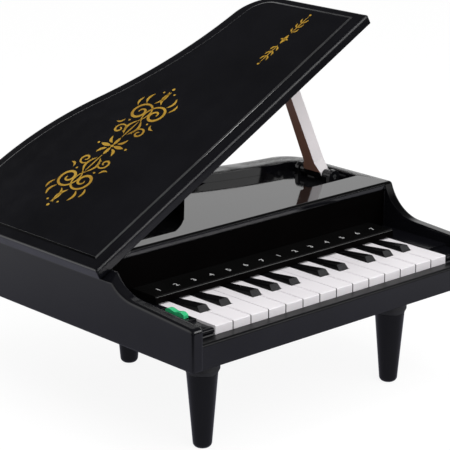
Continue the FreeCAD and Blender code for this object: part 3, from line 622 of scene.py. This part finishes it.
class Drawing:
    """Flat strokes and beads, gathered as one thin raised mesh."""

    def __init__(self):
        self.points = []
        self.faces = []

    def patch(self, left, right):
        """A strip between two lines with as many points each."""
        start = len(self.points)
        count = len(left)
        for height in (FOIL, 0.0):
            self.points += [(x * MM, y * MM, height) for x, y in left]
            self.points += [(x * MM, y * MM, height) for x, y in right]
        for step in range(count - 1):
            a, b = start + step, start + count + step
            under = 2 * count
            self.faces.append((a, b, b + 1, a + 1))
            self.faces.append((a, a + 1, a + 1 + under, a + under))
            self.faces.append((b + 1, b, b + under, b + 1 + under))

    def stroke(self, line, widths):
        """A line of changing width."""
        left, right = [], []
        last = len(line) - 1
        for step, (x, y) in enumerate(line):
            ahead = line[min(step + 1, last)]
            behind = line[max(step - 1, 0)]
            way = math.hypot(ahead[0] - behind[0], ahead[1] - behind[1])
            half = widths(step / last) / 2
            aside = ((behind[1] - ahead[1]) / way * half, (ahead[0] - behind[0]) / way * half)
            left.append((x + aside[0], y + aside[1]))
            right.append((x - aside[0], y - aside[1]))
        self.patch(left, right)

    def bead(self, x, y, radius):
        turns = [math.pi * step / BEAD_STEPS for step in range(BEAD_STEPS + 1)]
        self.patch([(x - radius * math.cos(turn), y + radius * math.sin(turn)) for turn in turns],
                   [(x - radius * math.cos(turn), y - radius * math.sin(turn)) for turn in turns])

    def on_lid(self, name, across, back):
        """The drawing as a mesh on the open lid, from its place on the closed one."""
        turn = Matrix.Rotation(-LID_OPEN, 4, "Y")
        from_hinge = KEYBOARD_ORIGIN.x + across - LID_HINGE.x
        flat = Matrix.Translation((from_hinge, KEYBOARD_ORIGIN.y + back, LID_FACE))
        made = mesh_of(name, self.points, self.faces)
        made.transform(Matrix.Translation((LID_HINGE.x, 0, LID_HINGE.z)) @ turn @ flat)
        return made


def curl(middle, radii, angles):
    """A spiral from one radius to another while it turns, in degrees."""
    line = []
    for step in range(CURL_STEPS + 1):
        share = step / CURL_STEPS
        radius = radii[0] + (radii[1] - radii[0]) * share
        angle = math.radians(angles[0] + (angles[1] - angles[0]) * share)
        line.append((middle[0] + radius * math.cos(angle), middle[1] + radius * math.sin(angle)))
    return line


def bow(start, end, rise=0.0):
    """A shallow bent line between two points."""
    run = (end[0] - start[0], end[1] - start[1])
    way = math.hypot(*run)
    line = []
    for step in range(BOW_STEPS + 1):
        share = step / BOW_STEPS
        lift = rise * math.sin(math.pi * share)
        line.append((start[0] + run[0] * share - run[1] / way * lift,
                     start[1] + run[1] * share + run[0] / way * lift))
    return line


def leaf(width):
    return lambda share: width * math.sin(math.pi * share) ** LEAF_BLUNT + LEAF_TIP


def swell(thin, thick):
    return lambda share: thin + (thick - thin) * math.sin(math.pi * share)


def flip(line, across, back):
    return [(x * across, y * back) for x, y in line]


def scroll_ornament():
    """Two pairs of facing scrolls with leaves and beads round a four-petalled middle."""
    drawing = Drawing()
    for across in (1, -1):
        stem, petal, end = SCROLL_STEM, SCROLL_SIDE_PETAL, SCROLL_SIDE_BEAD
        drawing.stroke(bow((stem["start"] * across, 0), (stem["end"] * across, 0)), swell(*stem["widths"]))
        drawing.stroke(bow((petal["start"] * across, 0), (petal["end"] * across, 0)), leaf(petal["width"]))
        drawing.bead(end["place"] * across, 0, end["radius"])
        for back in (1, -1):
            for part in SCROLL_CURLS:
                line = curl(part["middle"], part["radii"], part["angles"])
                drawing.stroke(flip(line, across, back), swell(*part["widths"]))
            for part in SCROLL_LEAVES:
                line = bow(part["start"], part["end"], part["rise"])
                drawing.stroke(flip(line, across, back), leaf(part["width"]))
            for part in SCROLL_BEADS:
                x, y = part["place"]
                drawing.bead(x * across, y * back, part["radius"])
    for back in (1, -1):
        petal, end = SCROLL_TALL_PETAL, SCROLL_TALL_BEAD
        drawing.stroke(bow((0, petal["start"] * back), (0, petal["end"] * back)), leaf(petal["width"]))
        drawing.bead(0, end["place"] * back, end["radius"])
    drawing.bead(0, 0, SCROLL_MIDDLE_RADIUS)
    return drawing.on_lid("lid_scroll_ornament", SCROLLS_ACROSS, SCROLLS_BACK)


def small_ornament():
    """A bar of leaves and beads."""
    drawing = Drawing()
    reach = BAR_SIDE_PETAL["reach"]
    drawing.stroke(bow((-reach, 0), (reach, 0)), leaf(BAR_SIDE_PETAL["width"]))
    reach = BAR_TALL_PETAL["reach"]
    drawing.stroke(bow((0, -reach), (0, reach)), leaf(BAR_TALL_PETAL["width"]))
    for across in (1, -1):
        line = bow((BAR_STEM["start"] * across, 0), (BAR_STEM["end"] * across, 0))
        drawing.stroke(line, swell(*BAR_STEM["widths"]))
        for start in BAR_LEAF_STARTS:
            tip = (start + BAR_LEAF["run"], BAR_LEAF["tip"])
            line = bow((start, BAR_LEAF["root"]), tip, BAR_LEAF["rise"])
            for back in (1, -1):
                drawing.stroke(flip(line, across, back), leaf(BAR_LEAF["width"]))
        drawing.bead(BAR_BEAD["place"] * across, 0, BAR_BEAD["radius"])
    return drawing.on_lid("lid_small_ornament", BAR_ACROSS, BAR_BACK)


# Border of the lid's raised panel

def panel_outline():
    """The border of the lid's raised face, as a round of (across, back) points from the hinge."""
    mesh = nodes["lid"].data
    uses = {}
    for face in mesh.polygons:
        height = (face.center - LID_HINGE).dot(LID_UP)
        if face.normal.dot(LID_UP) > SQUARE and abs(height - LID_FACE) < LID_FACE_SLACK:
            for edge in face.edge_keys:
                uses[edge] = uses.get(edge, 0) + 1
    beside = {}
    for (a, b), count in uses.items():
        if count == 1:
            beside.setdefault(a, []).append(b)
            beside.setdefault(b, []).append(a)
    start = min(beside)
    walk = [start, beside[start][0]]
    while walk[-1] != start:
        walk.append(next(point for point in beside[walk[-1]] if point != walk[-2]))
    places = [mesh.vertices[index].co for index in walk[:-1]]
    return [((place - LID_HINGE).dot(LID_ACROSS), place.y) for place in places]


def border_profile():
    """The border's section, as (share of its reach, height) from the panel outwards and round its edge."""
    top = LID_FACE + BORDER_LIFT
    profile = [(-BORDER_LAP / min(BORDER_LEFT, BORDER_FRONT), top)]
    for step in range(BORDER_STEPS + 1):
        turn = math.pi / 2 * step / BORDER_STEPS
        share = 1 - BORDER_ROUND_SHARE * (1 - math.sin(turn))
        profile.append((share, top - PANEL_RAISE * (1 - math.cos(turn))))
    return profile


def lid_border():
    """The raised face's own border, which reaches nearer to the lid's edge."""
    outline = panel_outline()
    left, right = min(p[0] for p in outline), max(p[0] for p in outline)
    front, back = min(p[1] for p in outline), max(p[1] for p in outline)
    grow_across = (BORDER_LEFT + BORDER_RIGHT) / (right - left)
    grow_back = (BORDER_FRONT + BORDER_BACK) / (back - front)
    profile = border_profile()
    points = []
    for share, height in profile:
        for across, y in outline:
            wide = across + share * ((across - left) * grow_across - BORDER_LEFT)
            deep = y + share * ((y - front) * grow_back - BORDER_FRONT)
            along_axis = Vector((0, deep - LID_HINGE.y, 0))
            points.append(tuple(LID_HINGE + LID_ACROSS * wide + LID_UP * height + along_axis))
    count = len(outline)
    faces = []
    for row in range(0, count * (len(profile) - 1), count):
        for step in range(count):
            ahead = (step + 1) % count
            faces.append((row + step, row + ahead, row + count + ahead, row + count + step))
    mesh = mesh_of("lid_panel_border", points, faces)
    if mesh.polygons[0].normal.dot(LID_UP) < 0:
        mesh.flip_normals()
    finish_border(mesh, count)
    return mesh


def finish_border(mesh, flat_faces):
    """The flat ring like the lid, and the rounded edge bright apart from its side towards the hinge, which
    gets the darker, duller painted-shade finish.
    """
    finishes = [lid_black, border_black, cheek_shade_black]
    for finish in finishes:
        mesh.materials.append(finish)
    for face in mesh.polygons[flat_faces:]:
        to_hinge = face.normal.dot(LID_ACROSS) < -BORDER_SIDE
        face.material_index = finishes.index(cheek_shade_black if to_hinge else border_black)
        face.use_smooth = True


add_piece(lid_border(), "lid")
add_piece(scroll_ornament(), "lid", gold)
add_piece(small_ornament(), "lid", gold)


# Caps on the front shelves of the key blocks

def block_cap(name, block):
    """A cap with a rounded nose and a dished top, from just behind the block's front to its step."""
    low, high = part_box(block)
    shelf = KEYBOARD_ORIGIN.z + SHELF_TOP
    front = low.y + CAP_MARGIN
    back = KEYBOARD_ORIGIN.y + SHELF_BACK - CAP_MARGIN
    profile = [(back, 0.0), (front, 0.0), (front, CAP_HEIGHT - CAP_NOSE)]
    for step in range(1, CAP_STEPS + 1):
        turn = math.pi / 2 * step / CAP_STEPS
        height = CAP_HEIGHT - CAP_NOSE * (1 - math.sin(turn))
        profile.append((front + CAP_NOSE * (1 - math.cos(turn)), height))
    for step in range(1, CAP_STEPS + 1):
        share = step / CAP_STEPS
        dish = CAP_DISH * math.sin(math.pi * share)
        profile.append((front + CAP_NOSE + (back - front - CAP_NOSE) * share, CAP_HEIGHT - dish))
    count = len(profile)
    points = []
    for x in (low.x + CAP_MARGIN, high.x - CAP_MARGIN):
        points += [(x, y, shelf + z) for y, z in profile]
    faces = [tuple(range(count)), tuple(range(2 * count - 1, count - 1, -1))]
    for step in range(count):
        ahead = (step + 1) % count
        faces.append((ahead, step, count + step, count + ahead))
    return mesh_of(name, points, faces)


for side in ("left", "right"):
    add_piece(block_cap("key_block_cap_" + side, "key_block_" + side), "piano_case", block_black)


# Key marks on the label rail: the numbers of the scale above the white keys

def mark_shape(text):
    """A number's points and faces, flat and about its middle."""
    letter = bpy.data.curves.new("mark", "FONT")
    letter.body = text
    letter.size = MARK_SIZE
    letter.align_x = "CENTER"
    letter.align_y = "CENTER"
    letter.extrude = FOIL
    letter.offset = MARK_BOLD
    holder = add_object("mark", letter)
    bpy.context.view_layer.update()
    flat = holder.evaluated_get(bpy.context.evaluated_depsgraph_get()).to_mesh()
    points = [vertex.co.copy() for vertex in flat.vertices]
    faces = [list(face.vertices) for face in flat.polygons]
    bpy.data.objects.remove(holder)
    return points, faces


def key_marks():
    rail_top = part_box("label_rail")[1].z
    points, faces = [], []
    for index, text in enumerate(OCTAVE_MARKS * OCTAVES):
        middle = KEYBOARD_ORIGIN + Vector(((index + 0.5) * WHITE_PITCH, MARK_BACK, 0))
        start = len(points)
        shape, outlines = mark_shape(text)
        points += [(point.x + middle.x, point.y + middle.y, point.z + rail_top) for point in shape]
        faces += [[start + corner for corner in outline] for outline in outlines]
    return mesh_of("key_marks", points, faces)


add_piece(key_marks(), "piano_case", mark_white)


# Studio: a pale floor, white surroundings and soft boxes

def by_ray(tree, output, seen, mirrored, lighting):
    """One shader for what the camera sees, one for reflections and one for all other light."""
    paths = tree.nodes.new("ShaderNodeLightPath")
    shader = lighting.outputs[0]
    for ray, chosen in (("Is Glossy Ray", mirrored), ("Is Camera Ray", seen)):
        mix = tree.nodes.new("ShaderNodeMixShader")
        tree.links.new(paths.outputs[ray], mix.inputs[0])
        tree.links.new(shader, mix.inputs[1])
        tree.links.new(chosen.outputs[0], mix.inputs[2])
        shader = mix.outputs[0]
    tree.links.new(shader, tree.nodes.new(output).inputs["Surface"])


def matte(tree, grey):
    node = tree.nodes.new("ShaderNodeBsdfDiffuse")
    node.inputs["Color"].default_value = (grey, grey, grey, 1)
    return node


def floor_white():
    """White to the camera with a soft shadow; in reflections it glows, with a painted shadow greyer near the
    piano and painted shade in front and off the front left corner.
    """
    made = bpy.data.materials.new("floor_white")
    made.use_nodes = True
    tree = made.node_tree
    tree.nodes.clear()
    glow = tree.nodes.new("ShaderNodeEmission")
    glow.inputs["Strength"].default_value = FLOOR_GLOW
    seen = tree.nodes.new("ShaderNodeAddShader")
    tree.links.new(matte(tree, FLOOR_SHADE).outputs[0], seen.inputs[0])
    tree.links.new(glow.outputs[0], seen.inputs[1])
    place = place_on_piece(tree)
    rings = tree.nodes.new("ShaderNodeTexGradient")
    rings.gradient_type = "SPHERICAL"
    tree.links.new(place, rings.inputs["Vector"])
    front = spread(tree, axes(tree, place)["Y"], FRONT_DIM, 1.0, FRONT_DARK, FRONT_PALE)
    corner = spread(tree, along(tree, place, CORNER_WAY), CORNER_DIM, 1.0, CORNER_DARK, CORNER_PALE)
    mirrored = tree.nodes.new("ShaderNodeEmission")
    tree.links.new(ramp(tree, rings.outputs["Fac"], FLOOR_TONES), mirrored.inputs["Color"])
    tree.links.new(combine(tree, "MULTIPLY", front, corner), mirrored.inputs["Strength"])
    by_ray(tree, "ShaderNodeOutputMaterial", seen, mirrored, matte(tree, FLOOR_BOUNCE))
    return made


def floor():
    h = FLOOR_HALF
    mesh = mesh_of("floor", [(-h, -h, 0), (h, -h, 0), (h, h, 0), (-h, h, 0)], [(0, 1, 2, 3)])
    mesh.materials.append(floor_white())
    piece = add_object("floor", mesh)


def surroundings():
    """White to the camera; for reflections, white near the horizon behind, dark overhead and in front."""
    world = bpy.data.worlds.new("studio")
    bpy.context.scene.world = world
    world.use_nodes = True
    tree = world.node_tree
    tree.nodes.clear()
    way = axes(tree, tree.nodes.new("ShaderNodeTexCoord").outputs["Generated"])
    height = spread(tree, way["Z"], 1.0, WORLD_DIM, math.sin(WORLD_PALE_BELOW), math.sin(WORLD_DARK_ABOVE))
    behind = spread(tree, way["Y"], WORLD_DIM, 1.0, WORLD_DARK_FRONT, WORLD_PALE_BACK)
    seen, mirrored, lighting = (tree.nodes.new("ShaderNodeBackground") for part in range(3))
    for node in (seen, mirrored, lighting):
        node.inputs["Color"].default_value = (1, 1, 1, 1)
    tree.links.new(combine(tree, "MINIMUM", height, behind), mirrored.inputs["Strength"])
    lighting.inputs["Strength"].default_value = WORLD_LIGHT
    by_ray(tree, "ShaderNodeOutputWorld", seen, mirrored, lighting)


def point_at(holder, place, way):
    holder.location = place
    holder.rotation_mode = "QUATERNION"
    holder.rotation_quaternion = way.to_track_quat("-Z", "Y")


def soft_box(name, place, size, watts, mirrored=True, lighting=True):
    """A lamp that may light the piano without being mirrored in it, or only be mirrored."""
    light = bpy.data.lights.new(name, "AREA")
    light.shape = "RECTANGLE"
    light.size, light.size_y = size
    light.energy = watts
    holder = add_object(name, light)
    point_at(holder, place, LAMP_AIM - Vector(place))
    holder.visible_glossy = mirrored
    holder.visible_diffuse = lighting


def camera():
    data = bpy.data.cameras.new("camera")
    data.lens = CAMERA_LENS
    data.sensor_width = CAMERA_SENSOR
    data.clip_start = CAMERA_NEAR
    data.clip_end = CAMERA_FAR
    holder = add_object("camera", data)
    point_at(holder, KEYBOARD_ORIGIN + CAMERA_PLACE, CAMERA_WAY)
    bpy.context.scene.camera = holder


floor()
surroundings()
soft_box("key_light", KEY_PLACE, KEY_SIZE, watts=7.2, mirrored=False)
soft_box("key_glint", KEY_PLACE, KEY_SIZE, watts=4.0)
soft_box("top_light", TOP_PLACE, TOP_SIZE, watts=4.4, mirrored=False)
soft_box("top_glint", TOP_PLACE, TOP_SIZE, watts=2.5)
soft_box("front_strip", STRIP_PLACE, FRONT_SIZE, watts=9.0, lighting=False)
soft_box("front_fill", FILL_PLACE, FRONT_SIZE, watts=4.0, mirrored=False)
camera()
bpy.context.scene.view_settings.view_transform = "Standard"
